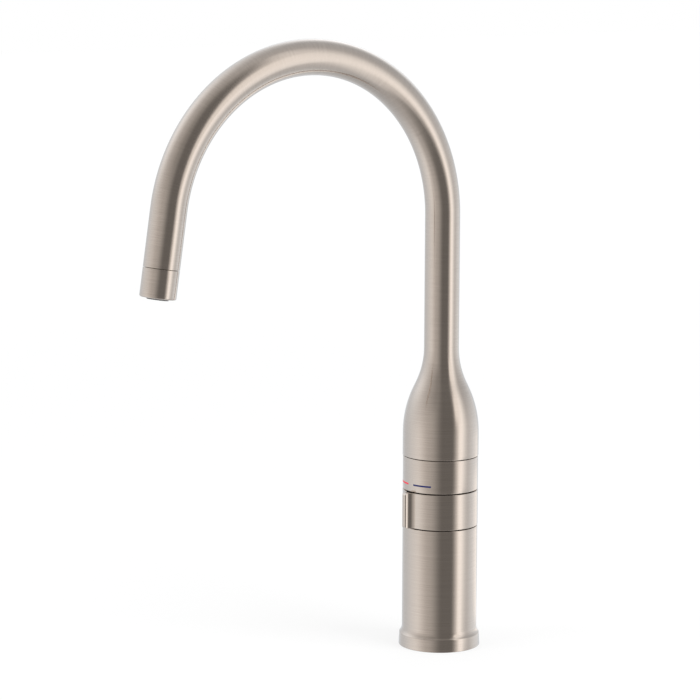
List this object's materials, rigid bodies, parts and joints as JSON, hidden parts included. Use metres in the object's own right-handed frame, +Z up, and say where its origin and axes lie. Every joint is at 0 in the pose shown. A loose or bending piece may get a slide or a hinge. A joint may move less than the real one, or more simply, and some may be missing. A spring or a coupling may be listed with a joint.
{
  "type": "electronic kitchen tap",
  "caption": "Tall gooseneck kitchen tap with a bottle-shaped body, a turning temperature ring with a fin, and a swivelling spout.",
  "frame": {"origin": "on the axis of the body, at the top of the worktop, in the middle of the hole that the tap stands over", "axes": "+Z up along the axis of the body; -Y towards the sink, the way the spout points at rest; +X to the right of someone who faces the tap, the cold side"},
  "size_m": [0.0536, 0.2567, 0.4038],
  "materials": {
    "brushed_nickel": "fine circumferential brushing, warm nickel tone",
    "red_enamel": "satin enamel",
    "blue_enamel": "satin enamel",
    "grey_plastic": "moulded, matte",
    "white_plastic": "acetal, smooth",
    "black_plastic": "moulded, matte",
    "rubber": "moulded",
    "cast_brass": "machined casting",
    "stainless_steel": "turned",
    "disc_ceramic": "lapped"
  },
  "bodies": {
    "base": {"body_shell": "brushed_nickel", "base_gasket": "rubber", "valve_body": "cast_brass", "touch_sensor": "black_plastic", "sensor_screw": "stainless_steel", "lead_grommet": "rubber", "port_seals": "rubber", "fixed_disc": "disc_ceramic", "column": "cast_brass", "thrust_washer": "white_plastic", "riser_tube": "stainless_steel", "riser_seals": "rubber", "lower_glide_ring": "black_plastic", "upper_glide_ring": "black_plastic", "index_ring": "brushed_nickel", "hot_mark": "red_enamel", "cold_mark": "blue_enamel", "swivel_post": "cast_brass", "swivel_seals": "rubber", "swivel_guide_ring": "white_plastic", "spout_thrust_ring": "white_plastic"},
    "temperature_ring": {"control_ring": "brushed_nickel", "drive_pin": "stainless_steel", "spindle": "cast_brass", "spindle_seals": "rubber", "mixing_disc": "disc_ceramic"},
    "swivel_spout": {"spout_shoulder": "brushed_nickel", "gooseneck": "brushed_nickel", "spout_bush": "cast_brass", "spout_screw": "stainless_steel", "outlet_nipple": "cast_brass", "aerator_collar": "brushed_nickel", "aerator_seal": "rubber", "aerator_cartridge": "grey_plastic", "aerator_screen": "stainless_steel", "flow_straightener": "grey_plastic"}
  },
  "joints": [
    {"name": "ring_turn", "type": "hinge", "parent": "base", "child": "temperature_ring", "pos_m": [0, 0, 0.09335], "axis": [0, 0, 1], "range_deg": [-37, 37]},
    {"name": "spout_swivel", "type": "hinge", "parent": "base", "child": "swivel_spout", "pos_m": [0, 0, 0.12785], "axis": [0, 0, 1], "range_deg": [-75, 75]}
  ]
}
